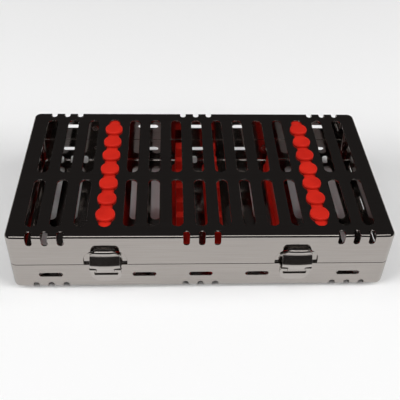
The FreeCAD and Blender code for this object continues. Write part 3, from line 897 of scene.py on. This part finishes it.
# %% [markdown]
# Red silicone
#
# Medical silicone is dyed through, matt to satin, and picks up a fine texture from the mould. Two noises
# are enough: a slow one that shifts the red a little, as uneven cure and dust do, and a fine one for the
# grain of the mould.


# %% Silicone finish
def silicone():
    material = bpy.data.materials.new("red_silicone")
    material.use_nodes = True
    nodes = material.node_tree.nodes
    links = material.node_tree.links
    shader = nodes["Principled BSDF"]
    shader.inputs["Specular IOR Level"].default_value = 0.25
    place = nodes.new("ShaderNodeTexCoord")
    slow = nodes.new("ShaderNodeTexNoise")
    slow.inputs["Scale"].default_value = 90.0
    slow.inputs["Detail"].default_value = 3.0
    links.new(place.outputs["Object"], slow.inputs["Vector"])
    tone = nodes.new("ShaderNodeValToRGB")
    tone.color_ramp.elements[0].position = 0.3
    tone.color_ramp.elements[0].color = (0.53, 0.016, 0.009, 1)
    tone.color_ramp.elements[1].position = 0.75
    tone.color_ramp.elements[1].color = (0.65, 0.022, 0.011, 1)
    links.new(slow.outputs["Fac"], tone.inputs["Fac"])
    links.new(tone.outputs["Color"], shader.inputs["Base Color"])
    fine = nodes.new("ShaderNodeTexNoise")
    fine.inputs["Scale"].default_value = 1800.0
    fine.inputs["Detail"].default_value = 3.0
    links.new(place.outputs["Object"], fine.inputs["Vector"])
    rough = nodes.new("ShaderNodeMapRange")
    rough.inputs["To Min"].default_value = 0.38
    rough.inputs["To Max"].default_value = 0.58
    links.new(fine.outputs["Fac"], rough.inputs["Value"])
    links.new(rough.outputs[0], shader.inputs["Roughness"])
    relief = nodes.new("ShaderNodeBump")
    relief.inputs["Strength"].default_value = 0.25
    relief.inputs["Distance"].default_value = 0.00003
    links.new(fine.outputs["Fac"], relief.inputs["Height"])
    links.new(relief.outputs[0], shader.inputs["Normal"])
    return material


red_silicone = silicone()
print("silicone ready")

# %% [markdown]
# Bodies and finishes
#
# Every dressed piece stands for its solid, takes the same material slot and rides on the same body, so
# that the lid still swings on its hinges and the latches on their pins.

# %% Hand each piece to its body
FINISHES = {
    "lid_steel": lid_steel,
    "tray_steel": tray_steel,
    "hinge_steel": hinge_steel,
    "latch_steel": latch_steel,
    "pin_steel": pin_steel,
    "rivet_steel": rivet_steel,
    "red_silicone": red_silicone,
}


def hand_over(piece, node, body, finish):
    piece.data.materials.clear()
    piece.data.materials.append(FINISHES[finish])
    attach(piece, body)
    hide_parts(node)


hand_over(lid, "lid_shell", "lid", "lid_steel")
hand_over(tray, "tray_shell", "tray", "tray_steel")
hand_over(tray_rivets, "tray_hinge_rivets", "tray", "rivet_steel")
hand_over(lid_rivets, "lid_hinge_rivets", "lid", "rivet_steel")
for node, piece in rails.items():
    hand_over(piece, node, node.split("_")[0], "red_silicone")
for kind, (body, width, finish) in SMALL_PARTS.items():
    for side in ("left", "right"):
        hand_over(small[kind + "_" + side], kind + "_" + side, body, finish)
for side, piece in levers.items():
    hand_over(piece, "latch_lever_" + side, "latch_" + side, "latch_steel")
for side, piece in brackets.items():
    hand_over(piece, "latch_bracket_" + side, "tray", "latch_steel")
print("handed over", 4 + len(rails) + len(small) + len(levers) + len(brackets))

# %% [markdown]
# Table and light
#
# The case stands on a white table in a room that is pale near the horizon and dark above it. A long soft
# lamp hangs overhead, and a stronger one stands at each side. The walls mirror the table and look pale;
# the lid mirrors the dark room behind and looks black. The side lamps aren't seen in the steel: they only
# light the table and the rubber.

# %% Table
TABLE_METRES = 16
bpy.ops.object.select_all(action="DESELECT")
bpy.ops.mesh.primitive_plane_add(size=TABLE_METRES, location=(0, 0, 0))
table = settle("table")
white = bpy.data.materials.new("table_white")
white.use_nodes = True
white_paint = white.node_tree.nodes["Principled BSDF"]
white_paint.inputs["Base Color"].default_value = (0.95, 0.95, 0.95, 1)
white_paint.inputs["Roughness"].default_value = 1.0
white_paint.inputs["Specular IOR Level"].default_value = 0.0
table.data.materials.append(white)
print("table set")

# %% Room and lamps
room = bpy.data.worlds.new("room")
bpy.context.scene.world = room
room.use_nodes = True
nodes = room.node_tree.nodes
links = room.node_tree.links
direction = nodes.new("ShaderNodeTexCoord")
height = nodes.new("ShaderNodeSeparateXYZ")
links.new(direction.outputs["Generated"], height.inputs[0])
fade = nodes.new("ShaderNodeValToRGB")
fade.color_ramp.elements[0].position = 0.02
fade.color_ramp.elements[0].color = (0.9, 0.9, 0.9, 1)
fade.color_ramp.elements[1].position = 0.09
fade.color_ramp.elements[1].color = (0.03, 0.028, 0.028, 1)
links.new(height.outputs["Z"], fade.inputs["Fac"])
links.new(fade.outputs["Color"], nodes["Background"].inputs["Color"])
nodes["Background"].inputs["Strength"].default_value = 1.0


def lamp(name, place, width, depth, power, mirrored=True):
    """Wide soft box aimed at the case. One that isn't mirrored doesn't show in the steel."""
    data = bpy.data.lights.new(name, "AREA")
    data.shape = "RECTANGLE"
    data.size = width
    data.size_y = depth
    data.energy = power
    body = bpy.data.objects.new(name, data)
    bpy.context.scene.collection.objects.link(body)
    aim = (-Vector(place)).to_track_quat("-Z", "Y").to_matrix().to_4x4()
    body.matrix_world = Matrix.Translation(place) @ aim
    body.visible_glossy = mirrored


lamp("overhead", (0.0, -0.3, 1.5), width=2.2, depth=0.4, power=8)
for name, x in (("left_fill", -1.6), ("right_fill", 1.6)):
    lamp(name, (x, -0.5, 0.9), width=1.6, depth=0.9, power=30, mirrored=False)
print("room and lamps set")

# %% [markdown]
# Camera
#
# The photograph was taken from in front and above, a little to the left, with the camera rolled by two
# degrees. The lens is about 59 mm on a full-frame sensor. The three axes of the camera are worked out
# from those angles.

# %% Camera
CAMERA_PLACE = (-0.01691, -0.29331, 0.27721)
azimuth = math.radians(3.59)
elevation = math.radians(41.74)
roll = math.radians(-2.22)
level = math.cos(elevation)
forward = Vector((math.sin(azimuth) * level, math.cos(azimuth) * level, -math.sin(elevation)))
level_right = Vector((math.cos(azimuth), -math.sin(azimuth), 0))
level_down = forward.cross(level_right)
right = math.cos(roll) * level_right + math.sin(roll) * level_down
down = -math.sin(roll) * level_right + math.cos(roll) * level_down
view = bpy.data.cameras.new("view")
view.sensor_width = 36
view.lens = 58.85
camera = bpy.data.objects.new("view", view)
bpy.context.scene.collection.objects.link(camera)
axes = Matrix((right, -down, -forward)).transposed().to_4x4()
camera.matrix_world = Matrix.Translation(CAMERA_PLACE) @ axes
bpy.context.scene.camera = camera
bpy.context.scene.view_settings.view_transform = "Standard"
print("camera at", [round(value, 3) for value in camera.location])
